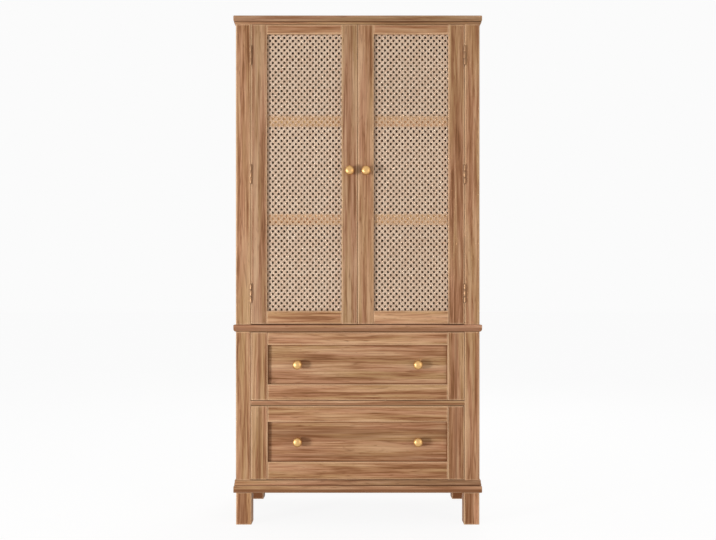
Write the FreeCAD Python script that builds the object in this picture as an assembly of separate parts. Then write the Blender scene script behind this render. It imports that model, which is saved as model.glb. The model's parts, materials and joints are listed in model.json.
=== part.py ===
import FreeCAD, Part
import os
from FreeCAD import Vector

# A tall wooden cabinet: two caned doors over two framed drawers, on four square legs.
# Millimetres, +Z up, front towards -Y, origin on the floor below the middle of the whole object.

# Case
case_width = 786.0
case_depth = 390.0
board_overhang = 7.0
post_width = 48.0
post_thickness = 22.0
side_thickness = 18.0
back_thickness = 6.0
back_rebate = 10.0
edge_ease = 1.6
seat_clearance = 0.2

# Boards that lie across the case, from the bottom up
base_board_thickness = 22.0
base_frame_height = 18.0
waist_board_thickness = 23.0
cornice_height = 9.0
top_board_thickness = 18.0
board_round = 3.0
waist_top_round = 2.5
waist_bottom_round = 9.0
frame_strip_width = 40.0
cornice_reach = {"low": 0.2, "high": 5.5}
cornice_hollow = 1.4
base_frame_reach = {"low": 5.2, "high": 3.0}
base_frame_hollow = 0.6
quirk_height = 3.4
quirk_depth = 3.2

# Legs
leg_height = 104.0
leg_size = 50.0
leg_setback = 7.5
leg_ease = 1.6
foot_bevel = 1.0
leg_tenon_size = 30.0
leg_tenon_length = 14.0

# Doors
door_height = 964.7
door_thickness = 22.0
door_bottom_gap = 2.5
door_top_gap = 0.8
meeting_gap = 1.2
meeting_bevel = 1.5
door_stile_width = 51.4
door_top_rail = 30.0
door_bottom_rail = 42.0
tenon_length = 24.0
tenon_thickness = 8.0
tenon_shoulder = 4.0
joint_clearance = 0.1

# Cane webbing, laid in a rebate and held from behind by beads
rebate_width = 8.0
rebate_lip = 8.0
cane_thickness = 2.4
cane_margin = 0.5
cane_pitch_x = 51.5
cane_pitch_z = 56.0
cane_gap_x = 26.5
cane_gap_z = 29.0
bead_bevel = 3.0
cane_bar_height = 36.0
cane_bar_thickness = 8.0

# Butt hinges
hinge_gap = 1.2
hinge_let_in = 0.9
hinge_height = 63.0
hinge_knuckles = 3
hinge_end_distance = 99.0
hinge_barrel_radius = 3.0
hinge_barrel_standoff = 0.2
hinge_leaf_thickness = 1.2
hinge_leaf_depth = 18.0
hinge_leaf_cutback = 0.4
hinge_knuckle_gap = 0.15
hinge_pin_radius = 1.4
hinge_pin_clearance = 0.05

# Magnetic catches
catch_width = 36.0
catch_height = 13.0
catch_depth = 14.0
catch_gap = 0.4
catch_pole_depth = 2.0
catch_pole_height = 3.0
strike_thickness = 1.5
strike_height = 15.0
strike_drop = 1.5

# Shelves, as heights of their upper faces above the upper case's floor
shelf_heights = {"lower": 349.0, "upper": 667.0}
shelf_thickness = 18.0
shelf_setback = 34.0
shelf_side_gap = 1.0
shelf_back_gap = 3.0
bearer_height = 20.0
bearer_thickness = 15.0
bearer_inset = 10.0

# Drawer fronts
upper_front_height = 218.8
lower_front_height = 236.8
divider_height = 16.0
drawer_gap = 1.6
drawer_side_gap = 1.2
drawer_front_thickness = 22.0
drawer_stile_width = 53.8
upper_front_rails = {"bottom": 51.0, "top": 41.0}
lower_front_rails = {"bottom": 57.0, "top": 51.0}
panel_recess = 11.0
panel_thickness = 7.0
panel_tongue = 8.0

# Drawer boxes
box_rear_space = 22.0
box_height = 160.0
box_raise = 14.0
box_wall = 12.0
box_bottom_thickness = 6.0
box_bottom_raise = 10.0
box_groove = 6.0

# Drawer slides, three nested channels on each side
slide_height = 46.0
slide_thickness = 12.7
slide_metal = 1.2
slide_gap = 0.4
slide_side_gap = 0.5
slide_setback = 1.5
slide_raise = 60.0
case_flange = 9.5
carriage_flange = 7.5
packer_height = 60.0

# Knobs
knob_radius = 15.0
knob_neck_radius = 6.5
knob_neck_length = 11.0
knob_rim_length = 12.0
knob_crown_radius = 10.0
knob_crown_length = 7.0
door_knob_height = 492.5
drawer_knob_spacing = 388.0

# Places worked out from the sizes
knob_length = knob_neck_length + knob_rim_length + knob_crown_length
front = -(case_depth - knob_length) / 2
back = front + case_depth
half_case = case_width / 2
half_opening = half_case - post_width
inner_side = half_case - side_thickness
post_back = front + post_thickness
back_face = back - back_thickness

z_base_board = leg_height
z_base_frame = z_base_board + base_board_thickness
z_lower_case = z_base_frame + base_frame_height
z_lower_drawer = z_lower_case + drawer_gap
z_divider = z_lower_drawer + lower_front_height + drawer_gap
z_upper_drawer = z_divider + divider_height + drawer_gap
z_waist = z_upper_drawer + upper_front_height + drawer_gap
z_upper_case = z_waist + waist_board_thickness
z_door = z_upper_case + door_bottom_gap
z_door_top = z_door + door_height
z_cornice = z_door_top + door_top_gap
z_top_board = z_cornice + cornice_height

door_x0 = -half_opening + hinge_gap
door_x1 = -meeting_gap / 2
door_back = front + door_thickness
knob_x = door_x1 - door_stile_width / 2
knob_z = z_door + door_knob_height

hinge_x = -half_opening + hinge_gap / 2
hinge_y = front - hinge_barrel_standoff - hinge_barrel_radius
hinge_heights = [
    z_door + hinge_end_distance,
    z_door + door_height / 2,
    z_door_top - hinge_end_distance,
]

drawer_back = front + drawer_front_thickness
panel_front = front + panel_recess
box_length = back_face - box_rear_space - drawer_back
slide_x = half_opening - slide_side_gap
half_box = slide_x - slide_thickness
slide_start = drawer_back + slide_setback


# Tools for boards and other plain forms

def box(x0, x1, y0, y1, z0, z1):
    return Part.makeBox(x1 - x0, y1 - y0, z1 - z0, Vector(x0, y0, z0))


def prism(corners, push):
    """A flat outline pushed along one direction."""
    points = [Vector(*corner) for corner in corners]
    return Part.Face(Part.makePolygon(points + points[:1])).extrude(Vector(*push))


def upright(x0, x1, y0, y1, z0, z1):
    """A standing board with both front edges eased."""
    outline = [(x0, y1), (x0, y0 + edge_ease), (x0 + edge_ease, y0),
               (x1 - edge_ease, y0), (x1, y0 + edge_ease), (x1, y1)]
    return prism([(x, y, z0) for x, y in outline], (0, 0, z1 - z0))


def crosspiece(x0, x1, y0, y1, z0, z1):
    """A lying board with both front edges eased."""
    outline = [(y1, z0), (y0 + edge_ease, z0), (y0, z0 + edge_ease),
               (y0, z1 - edge_ease), (y0 + edge_ease, z1), (y1, z1)]
    return prism([(x0, y, z) for y, z in outline], (x1 - x0, 0, 0))


def joined(pieces):
    return pieces[0].multiFuse(pieces[1:]).removeSplitter()


def mirrored(shape):
    """The same piece on the other side of the cabinet."""
    return shape.mirror(Vector(0, 0, 0), Vector(1, 0, 0))


def both_sides(pieces):
    return pieces + [mirrored(piece) for piece in pieces]


def save(node, pieces):
    """Write one node, a single piece or a group of separate ones."""
    shape = pieces[0] if len(pieces) == 1 else Part.makeCompound(pieces)
    shape.exportStep("parts/" + node + ".step")


# Boards and frames that lie across the case

def wide_board(z0, thickness, top_round, bottom_round):
    """A board past the case at the front and sides, rounded there above and below."""
    reach = half_case + board_overhang
    board = box(-reach, reach, front - board_overhang, back, z0, z0 + thickness)
    for radius, level in ((top_round, z0 + thickness), (bottom_round, z0)):
        rims = [edge for edge in board.Edges
                if abs(edge.BoundBox.ZMin - level) < 1e-6 and abs(edge.BoundBox.ZMax - level) < 1e-6
                and edge.BoundBox.YMin < back - 1e-6]
        board = board.makeFillet(radius, rims)
    return board


def cove_section(reach, hollow, height, place):
    """The section of a coved strip, placed by a function of reach past the case and height.
    Its wider edge has a quirk, a small step back where the strip meets the board."""
    quirk_low = quirk_height if reach["low"] > reach["high"] else 0
    quirk_high = quirk_height if reach["high"] > reach["low"] else 0
    foot = place(reach["low"], quirk_low)
    middle = place((reach["low"] + reach["high"]) / 2 - hollow, (height + quirk_low - quirk_high) / 2)
    head = place(reach["high"], height - quirk_high)
    outline = [head]
    if quirk_high:
        outline += [place(reach["high"] - quirk_depth, height - quirk_high),
                    place(reach["high"] - quirk_depth, height)]
    outline += [place(-frame_strip_width, height), place(-frame_strip_width, 0)]
    if quirk_low:
        outline += [place(reach["low"] - quirk_depth, 0),
                    place(reach["low"] - quirk_depth, quirk_low)]
    outline += [foot]
    edges = [Part.LineSegment(start, end).toShape() for start, end in zip(outline, outline[1:])]
    edges.append(Part.Arc(foot, middle, head).toShape())
    return Part.Face(Part.Wire(edges))


def coved_frame(z0, height, reach, hollow):
    """Coved strips mitred at the front corners, and a plain strip across the back."""
    widest = max(reach.values())
    out_x = half_case + widest
    in_x = half_case - frame_strip_width
    out_y = front - widest
    in_y = front + frame_strip_width
    front_plan = [(-out_x, out_y, z0), (out_x, out_y, z0), (in_x, in_y, z0), (-in_x, in_y, z0)]
    side_plan = [(-out_x, out_y, z0), (-in_x, in_y, z0), (-in_x, back, z0), (-out_x, back, z0)]
    front_strip = cove_section(reach, hollow, height,
                               lambda out, up: Vector(-out_x, front - out, z0 + up))
    side_strip = cove_section(reach, hollow, height,
                              lambda out, up: Vector(-half_case - out, out_y, z0 + up))
    front_piece = front_strip.extrude(Vector(2 * out_x, 0, 0)).common(prism(front_plan, (0, 0, height)))
    side_piece = side_strip.extrude(Vector(0, back - out_y, 0)).common(prism(side_plan, (0, 0, height)))
    rear_piece = box(-in_x, in_x, back - frame_strip_width, back, z0, z0 + height)
    return [front_piece, rear_piece] + both_sides([side_piece])


# Legs, each with a stub tenon in the base board

def leg_centres():
    leg_x = half_case + board_overhang - leg_setback - leg_size / 2
    front_y = front - board_overhang + leg_setback + leg_size / 2
    rear_y = back - leg_setback - leg_size / 2
    return [(x, y) for x in (-leg_x, leg_x) for y in (front_y, rear_y)]


def leg_outline(x, y, z, half):
    near = half - leg_ease
    corners = [(-half, -near), (-near, -half), (near, -half), (half, -near),
               (half, near), (near, half), (-near, half), (-half, near)]
    points = [Vector(x + dx, y + dy, z) for dx, dy in corners]
    return Part.makePolygon(points + points[:1])


def leg_tenon(x, y, clearance):
    """The stub tenon, or with a clearance the mortise for it."""
    half = leg_tenon_size / 2 + clearance
    return box(x - half, x + half, y - half, y + half, leg_height, leg_height + leg_tenon_length + clearance)


def leg(x, y):
    half = leg_size / 2
    foot = Part.makeLoft([leg_outline(x, y, 0, half - foot_bevel), leg_outline(x, y, foot_bevel, half)],
                         True, True)
    shank = Part.Face(leg_outline(x, y, foot_bevel, half)).extrude(Vector(0, 0, leg_height - foot_bevel))
    return joined([foot, shank, leg_tenon(x, y, 0)])


# Case sides, posts and backs

def side_panel(z0, z1):
    """A side board, rebated along its rear inner edge for the back panel."""
    rebate_x = -inner_side - back_rebate
    outline = [(-half_case, post_back), (-inner_side, post_back), (-inner_side, back_face),
               (rebate_x, back_face), (rebate_x, back), (-half_case, back)]
    return prism([(x, y, z0) for x, y in outline], (0, 0, z1 - z0))


def post(z0, z1):
    return upright(-half_case, -half_opening, front, post_back, z0, z1)


def back_panel(z0, z1):
    reach = inner_side + back_rebate - seat_clearance
    return box(-reach, reach, back_face, back, z0, z1)


# Shelves, each on two bearers

def shelf(height):
    top = z_upper_case + height
    reach = inner_side - shelf_side_gap
    return box(-reach, reach, front + shelf_setback, back_face - shelf_back_gap, top - shelf_thickness, top)


def shelf_bearer(height):
    """A strip on the left side panel, under the end of a shelf."""
    top = z_upper_case + height - shelf_thickness
    return box(-inner_side, -inner_side + bearer_thickness, front + shelf_setback + bearer_inset,
               back_face - bearer_inset, top - bearer_height, top)


# Knobs

def knob(x, y, z):
    """A round head with a bevelled crown, on a neck, turned about the line that it is pulled along."""
    head = -knob_neck_length
    rim = head - knob_rim_length
    outline = [(0, 0), (knob_neck_radius, 0), (knob_neck_radius, head), (knob_radius, head),
               (knob_radius, rim), (knob_crown_radius, -knob_length), (0, -knob_length)]
    points = [Vector(x + out, y + along, z) for out, along in outline]
    profile = Part.Face(Part.makePolygon(points + points[:1]))
    return profile.revolve(Vector(x, y, z), Vector(0, 1, 0), 360)


# Butt hinges between the left post and the left door

def hinge_seats(x, way):
    """Shallow seats for the leaves, cut into the edge of the post or of the stile."""
    far = x + way * hinge_let_in
    return [box(min(x, far), max(x, far), front - edge_ease, front + hinge_leaf_depth + joint_clearance,
                z - hinge_height / 2 - joint_clearance, z + hinge_height / 2 + joint_clearance)
            for z in hinge_heights]


def hinge_rod(radius, start, end):
    return Part.makeCylinder(radius, end - start, Vector(hinge_x, hinge_y, start))


def hinge_leaf(x0, x1, z, knuckles):
    """One leaf, with the knuckles that it carries still solid."""
    low = z - hinge_height / 2
    step = hinge_height / hinge_knuckles
    plate_front = hinge_y + hinge_barrel_radius + hinge_leaf_cutback
    pieces = [box(x0, x1, plate_front, front + hinge_leaf_depth, low, low + hinge_height)]
    for index in knuckles:
        start = low + index * step + hinge_knuckle_gap / 2
        end = low + (index + 1) * step - hinge_knuckle_gap / 2
        pieces.append(box(x0, x1, hinge_y, plate_front, start, end))
        pieces.append(hinge_rod(hinge_barrel_radius, start, end))
    return joined(pieces)


def case_leaf(z):
    """The leaf on the post, with the pin riveted into its knuckles."""
    step = hinge_height / hinge_knuckles
    pin = hinge_rod(hinge_pin_radius, z - hinge_height / 2 + step / 2, z + hinge_height / 2 - step / 2)
    plate = -half_opening - hinge_let_in
    leaf = hinge_leaf(plate, plate + hinge_leaf_thickness, z, range(0, hinge_knuckles, 2))
    return joined([leaf, pin])


def door_leaf(z):
    """The leaf on the door, bored to turn on the pin."""
    bore = hinge_rod(hinge_pin_radius + hinge_pin_clearance, z - hinge_height / 2, z + hinge_height / 2)
    plate = door_x0 + hinge_let_in
    leaf = hinge_leaf(plate - hinge_leaf_thickness, plate, z, range(1, hinge_knuckles, 2))
    return leaf.cut(bore)


# The left door

sight_x0 = door_x0 + door_stile_width
sight_x1 = door_x1 - door_stile_width
sight_z0 = z_door + door_bottom_rail
sight_z1 = z_door_top - door_top_rail
cane_front = front + rebate_lip
cane_back = cane_front + cane_thickness


def door_tenon(rail_low, rail_high, clearance):
    """Both tenons of a rail in one bar, or with a clearance the space that they need."""
    y0 = front + (door_thickness - tenon_thickness) / 2
    reach = tenon_length + clearance
    return box(sight_x0 - reach, sight_x1 + reach, y0 - clearance, y0 + tenon_thickness + clearance,
               rail_low + tenon_shoulder - clearance, rail_high - tenon_shoulder + clearance)


def door_frame():
    """Stiles of full height, and rails tenoned into them, rebated behind for the cane.
    The meeting stile is bevelled back, so that both doors can swing out together."""
    rebate = box(sight_x0 - rebate_width, sight_x1 + rebate_width, cane_front, door_back,
                 sight_z0 - rebate_width, sight_z1 + rebate_width)
    rails_solid = [(z_door, sight_z0 - rebate_width), (sight_z1 + rebate_width, z_door_top)]
    mortises = [door_tenon(low, high, joint_clearance) for low, high in rails_solid]
    stiles = [
        upright(door_x0, sight_x0, front, door_back, z_door, z_door_top),
        upright(sight_x1, door_x1, front, door_back, z_door, z_door_top),
    ]
    bevel = prism([(door_x1, front, z_door), (door_x1, door_back, z_door),
                   (door_x1 - meeting_bevel, door_back, z_door)], (0, 0, door_height))
    cuts = [rebate, bevel] + mortises + hinge_seats(door_x0, 1)
    stiles = [stile.cut(cuts) for stile in stiles]
    rails = [
        crosspiece(sight_x0, sight_x1, front, door_back, z_door, sight_z0),
        crosspiece(sight_x0, sight_x1, front, door_back, sight_z1, z_door_top),
    ]
    rails = [joined([rail.cut(rebate), door_tenon(low, high, 0)])
             for rail, (low, high) in zip(rails, rails_solid)]
    return stiles, rails


def cane_sheet():
    """The webbing as one sheet with staggered diamond gaps between its crossing strands."""
    edge = rebate_width - cane_margin
    rim = [(sight_x0 - edge, sight_z0 - edge), (sight_x1 + edge, sight_z0 - edge),
           (sight_x1 + edge, sight_z1 + edge), (sight_x0 - edge, sight_z1 + edge)]
    outlines = [rim]
    middle_x = (sight_x0 + sight_x1) / 2
    middle_z = (sight_z0 + sight_z1) / 2
    reach_x = (sight_x1 - sight_x0 - cane_gap_x) / 2
    reach_z = (sight_z1 - sight_z0 - cane_gap_z) / 2
    rows = int(reach_z / (cane_pitch_z / 2))
    columns = int(reach_x / (cane_pitch_x / 2))
    for row in range(-rows, rows + 1):
        for column in range(-columns, columns + 1):
            if (row + column) % 2:
                continue
            x = middle_x + column * cane_pitch_x / 2
            z = middle_z + row * cane_pitch_z / 2
            outlines.append([(x - cane_gap_x / 2, z), (x, z - cane_gap_z / 2),
                             (x + cane_gap_x / 2, z), (x, z + cane_gap_z / 2)])
    wires = []
    for outline in outlines:
        points = [Vector(x, cane_front, z) for x, z in outline]
        wires.append(Part.makePolygon(points + points[:1]))
    return Part.makeFace(wires, "Part::FaceMakerBullseye").extrude(Vector(0, cane_thickness, 0))


def cane_beads():
    """Four strips that fill the rebate behind the cane, bevelled towards the opening."""
    x0 = sight_x0 - rebate_width + seat_clearance
    x1 = sight_x1 + rebate_width - seat_clearance
    z0 = sight_z0 - rebate_width + seat_clearance
    z1 = sight_z1 + rebate_width - seat_clearance

    def section(outer, inner):
        bevel = bead_bevel if inner > outer else -bead_bevel
        return [(outer, cane_back), (inner, cane_back), (inner, door_back - bead_bevel),
                (inner - bevel, door_back), (outer, door_back)]

    uprights = [prism([(x, y, z0) for x, y in section(outer, inner)], (0, 0, z1 - z0))
                for outer, inner in ((x0, sight_x0), (x1, sight_x1))]
    lying = [prism([(sight_x0, y, z) for z, y in section(outer, inner)], (sight_x1 - sight_x0, 0, 0))
             for outer, inner in ((z0, sight_z0), (z1, sight_z1))]
    return uprights + lying


def cane_bar(shelf_height):
    """A bar across the back of the cane, in line with a shelf, bevelled along its rear edges."""
    middle = z_upper_case + shelf_height - shelf_thickness / 2
    rear = cane_back + cane_bar_thickness
    flat = cane_bar_height / 2
    near = flat - bead_bevel
    section = [(cane_back, -flat), (cane_back, flat), (rear - bead_bevel, flat), (rear, near),
               (rear, -near), (rear - bead_bevel, -flat)]
    return prism([(sight_x0, y, middle + rise) for y, rise in section], (sight_x1 - sight_x0, 0, 0))


def strike_plate():
    high = z_door_top - strike_drop
    return box(knob_x - catch_width / 2, knob_x + catch_width / 2, door_back, door_back + strike_thickness,
               high - strike_height, high)


def door_catch():
    """The magnet's case under the cornice, with a pole strip along its top and bottom front edges."""
    face = door_back + strike_thickness + catch_gap
    x0 = knob_x - catch_width / 2
    x1 = knob_x + catch_width / 2
    z0 = z_cornice - catch_height
    body = box(x0, x1, face + catch_pole_depth, face + catch_depth, z0, z_cornice)
    poles = [box(x0, x1, face, face + catch_pole_depth, low, low + catch_pole_height)
             for low in (z0, z_cornice - catch_pole_height)]
    return joined([body] + poles)


def door():
    """Every node of the left door, by the last part of its name."""
    stiles, rails = door_frame()
    return {
        "stiles": stiles,
        "rails": rails,
        "cane": [cane_sheet()],
        "cane_beads": cane_beads(),
        "cane_bars": [cane_bar(height) for height in shelf_heights.values()],
        "hinge_leaves": [door_leaf(z) for z in hinge_heights],
        "strike_plate": [strike_plate()],
        "knob": [knob(knob_x, front, knob_z)],
    }


# Drawer slides on the left, three channels one inside the other

case_web = -slide_x
carriage_web = case_web + slide_metal + slide_gap
drawer_tip = carriage_web + slide_metal + slide_gap
carriage_height = slide_height - 2 * (slide_metal + slide_gap)
drawer_slide_height = carriage_height - 2 * (slide_metal + slide_gap)


def channel(web, tip, height, z, start):
    """A folded metal channel with its web at one x and its flanges' edges at another."""
    metal = slide_metal if tip > web else -slide_metal
    low = z - height / 2
    high = z + height / 2
    outline = [(web, low), (tip, low), (tip, low + slide_metal), (web + metal, low + slide_metal),
               (web + metal, high - slide_metal), (tip, high - slide_metal), (tip, high), (web, high)]
    return prism([(x, start, level) for x, level in outline], (0, box_length, 0))


def slide_packer(z):
    """A wooden block that brings the slide out from the side panel, past the post."""
    return box(-inner_side, -slide_x, post_back, slide_start + box_length,
               z - packer_height / 2, z + packer_height / 2)


def case_slide(z):
    return channel(case_web, case_web + case_flange, slide_height, z, slide_start)


def carriage(z):
    return channel(carriage_web, carriage_web + carriage_flange, carriage_height, z, slide_start)


def drawer_slide(z):
    return channel(-half_box, drawer_tip, drawer_slide_height, z, drawer_back)


# Drawers

def drawer_front(z0, z1, rails):
    """Grooved stiles and rails with stub tenons, and the panel that is let into them."""
    half_front = half_opening - drawer_side_gap
    field_x = half_front - drawer_stile_width
    field_z0 = z0 + rails["bottom"]
    field_z1 = z1 - rails["top"]
    tongue_back = panel_front + panel_thickness

    def groove(low, high):
        return box(-field_x - panel_tongue, field_x + panel_tongue, panel_front, tongue_back, low, high)

    stile = upright(-half_front, -field_x, front, drawer_back, z0, z1).cut(groove(z0, z1))
    field_groove = groove(field_z0 - panel_tongue, field_z1 + panel_tongue)
    rail_pieces = []
    for low, high, near, far in ((z0, field_z0, z0, field_z0 - panel_tongue),
                                 (field_z1, z1, field_z1 + panel_tongue, z1)):
        bar = crosspiece(-field_x, field_x, front, drawer_back, low, high).cut(field_groove)
        tongue = box(-field_x - panel_tongue + joint_clearance, field_x + panel_tongue - joint_clearance,
                     panel_front, tongue_back, near, far)
        rail_pieces.append(joined([bar, tongue]))
    inset = panel_tongue - joint_clearance
    panel = box(-field_x - inset, field_x + inset, panel_front, tongue_back,
                field_z0 - inset, field_z1 + inset)
    return both_sides([stile]), rail_pieces, panel, (field_z0 + field_z1) / 2


def drawer_box(z0):
    """Sides, front and back of the box, grooved for the bottom, which runs out under the back."""
    z1 = z0 + box_height
    inner = half_box - box_wall
    end = drawer_back + box_length
    bottom_low = z0 + box_bottom_raise
    bottom_high = bottom_low + box_bottom_thickness
    slot = box(-inner - box_groove, inner + box_groove, drawer_back + box_wall - box_groove, end,
               bottom_low, bottom_high)
    bottom = box(-inner - box_groove + joint_clearance, inner + box_groove - joint_clearance,
                 drawer_back + box_wall - box_groove + joint_clearance, end, bottom_low, bottom_high)
    side = box(-half_box, -inner, drawer_back, end, z0, z1).cut(slot)
    box_front = box(-inner, inner, drawer_back, drawer_back + box_wall, z0, z1).cut(slot)
    box_back = box(-inner, inner, end - box_wall, end, bottom_high, z1)
    return both_sides([side]), [box_front, box_back], bottom


def drawer(z0, height, rails):
    """Every node of one drawer, by the last part of its name."""
    stiles, rail_pieces, panel, knob_level = drawer_front(z0, z0 + height, rails)
    sides, ends, bottom = drawer_box(z0 + box_raise)
    return {
        "front_stiles": stiles,
        "front_rails": rail_pieces,
        "front_panel": [panel],
        "box_sides": sides,
        "box_ends": ends,
        "box_bottom": [bottom],
        "slides": both_sides([drawer_slide(z0 + box_raise + slide_raise)]),
        "knobs": both_sides([knob(-drawer_knob_spacing / 2, panel_front, knob_level)]),
    }


# Every node of the cabinet

os.makedirs("parts", exist_ok=True)

legs_at = leg_centres()
leg_mortises = [leg_tenon(x, y, joint_clearance) for x, y in legs_at]
save("legs", [leg(x, y) for x, y in legs_at])
base_board = wide_board(z_base_board, base_board_thickness, board_round, board_round)
save("base_board", [base_board.cut(leg_mortises)])
save("base_frame", coved_frame(z_base_frame, base_frame_height, base_frame_reach, base_frame_hollow))

save("lower_side_panels", both_sides([side_panel(z_lower_case, z_waist)]))
save("lower_posts", both_sides([post(z_lower_case, z_waist)]))
save("lower_back_panel", [back_panel(z_lower_case, z_waist)])
save("drawer_divider_rail", [crosspiece(-half_opening, half_opening, front, post_back,
                                        z_divider, z_divider + divider_height)])
save("waist_board", [wide_board(z_waist, waist_board_thickness, waist_top_round, waist_bottom_round)])

save("upper_side_panels", both_sides([side_panel(z_upper_case, z_cornice)]))
save("upper_posts", both_sides([post(z_upper_case, z_cornice).cut(hinge_seats(-half_opening, -1))]))
save("upper_back_panel", [back_panel(z_upper_case, z_cornice)])
save("cornice_frame", coved_frame(z_cornice, cornice_height, cornice_reach, cornice_hollow))
save("top_board", [wide_board(z_top_board, top_board_thickness, board_round, board_round)])

for shelf_name, shelf_height in shelf_heights.items():
    save(shelf_name + "_shelf", [shelf(shelf_height)])
save("shelf_bearers", both_sides([shelf_bearer(height) for height in shelf_heights.values()]))

save("case_hinge_leaves", both_sides([case_leaf(z) for z in hinge_heights]))
save("door_catches", both_sides([door_catch()]))

left_door = door()
for suffix, door_group in left_door.items():
    save("left_door_" + suffix, door_group)
    save("right_door_" + suffix, [mirrored(piece) for piece in door_group])

drawers = {
    "upper_drawer": (z_upper_drawer, upper_front_height, upper_front_rails),
    "lower_drawer": (z_lower_drawer, lower_front_height, lower_front_rails),
}
slide_levels = [z0 + box_raise + slide_raise for z0, height, rails in drawers.values()]
save("slide_packers", both_sides([slide_packer(z) for z in slide_levels]))
save("case_slides", both_sides([case_slide(z) for z in slide_levels]))
for drawer_name, sizes in drawers.items():
    for suffix, drawer_group in drawer(*sizes).items():
        save(drawer_name + "_" + suffix, drawer_group)
    save(drawer_name + "_carriages", both_sides([carriage(sizes[0] + box_raise + slide_raise)]))
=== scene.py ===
"""Looks for a tall wooden cabinet with two caned doors over two framed drawers."""
import json
import math
from functools import partial

import bmesh
import bpy
import numpy as np
from mathutils import Matrix, Vector


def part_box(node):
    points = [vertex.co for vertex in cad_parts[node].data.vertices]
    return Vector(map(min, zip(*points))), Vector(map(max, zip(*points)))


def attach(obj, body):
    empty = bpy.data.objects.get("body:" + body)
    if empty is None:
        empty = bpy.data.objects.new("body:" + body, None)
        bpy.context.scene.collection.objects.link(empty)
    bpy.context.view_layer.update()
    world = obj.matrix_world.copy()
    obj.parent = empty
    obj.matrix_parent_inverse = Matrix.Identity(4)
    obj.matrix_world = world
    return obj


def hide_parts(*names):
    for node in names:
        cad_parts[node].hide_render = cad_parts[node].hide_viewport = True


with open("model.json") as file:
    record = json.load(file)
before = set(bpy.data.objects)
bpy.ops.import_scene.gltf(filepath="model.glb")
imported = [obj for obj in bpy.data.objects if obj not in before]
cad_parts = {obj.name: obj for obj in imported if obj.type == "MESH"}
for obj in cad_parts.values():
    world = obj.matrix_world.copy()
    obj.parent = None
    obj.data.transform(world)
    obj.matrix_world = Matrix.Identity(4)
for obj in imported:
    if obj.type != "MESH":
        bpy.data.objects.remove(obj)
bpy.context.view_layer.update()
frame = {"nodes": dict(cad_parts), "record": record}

bl_info = {
    "name": "Caned cabinet",
    "version": (1, 0, 0),
    "blender": (4, 5, 0),
    "location": "3D View > Sidebar > Cabinet",
    "description": "Dresses the packed cabinet in oiled wood, woven cane and satin brass",
    "category": "Object",
}

MM = 0.001

# The stage: the photo's width in pixels, the sensor's in millimetres, the floor's reach and the
# height that the lights are aimed at in metres, and a softbox's width as a share of its height
PHOTO_WIDTH = 716
SENSOR_WIDTH = 36.0
FLOOR_REACH = 40.0
LIT_HEIGHT = 0.8
SOFTBOX_SHAPE = 0.7

# Each door, and the side of it that its hinges are on
DOORS = {"left_door": -1, "right_door": 1}
DRAWERS = ("upper_drawer", "lower_drawer")

# Sizes of the CAD model that no node's box gives
PANEL_TONGUE = 7.9 * MM
QUIRK_HEIGHT = 3.4 * MM
CANE_BAR_HEIGHT = 36 * MM
BOX_WALL = 12 * MM
SLIDE_METAL = 1.2 * MM
BEARER_THICKNESS = 15 * MM
BEARER_HEIGHT = 20 * MM

# Steps of noise from one growth ring to the next, in boards and in peeled veneer
BOARD_RING = 0.035
VENEER_RING = 0.045

# Thickness of one ply of the plywood
PLY = 1.5 * MM

# How far apart in the noise two boards lie, and two strands of cane
BOARD_STEP = Vector((2.2661, 1.9329, 1.1937))
STRAND_STEP = 7.3

# How high strands of cane lie over or under the sheet's middle, and for what share of the pitch
# on each side of a crossing they stay there
STRAND_LIFT = 0.8 * MM
SLANT_LIFT = 0.38 * MM
FLAT_SHARE = 0.11

# How much the widths of straight and slanting strands vary, as shares of their usual width
STRAND_WIDTHS = (0.88, 1.12)
SLANT_WIDTHS = (0.92, 1.08)

# Height over which the rubbing of a bar on the cane fades, at the bar's edges
RUB_FADE = 6 * MM


def linear(code):
    """The linear colour of an sRGB hex code."""
    parts = [int(code[i:i + 2], 16) / 255 for i in (1, 3, 5)]
    return [c / 12.92 if c <= 0.04045 else ((c + 0.055) / 1.055) ** 2.4 for c in parts]


def opaque(rgb):
    """A colour as a node's colour input takes it."""
    return (*rgb, 1.0)


def number(name, description, value, **kind):
    """A number that shows in the sidebar as its kind does."""
    return bpy.props.FloatProperty(name=name, description=description, default=value, **kind)


def length(name, description, millimetres):
    """A size that shows in the sidebar in the scene's own unit."""
    return number(name, description, millimetres * MM, min=0, precision=5, unit="LENGTH",
                  subtype="DISTANCE")


def colour(name, description, code):
    """A colour that shows in the sidebar as a swatch."""
    return bpy.props.FloatVectorProperty(name=name, description=description, default=linear(code),
                                         min=0, max=1, subtype="COLOR")


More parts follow.
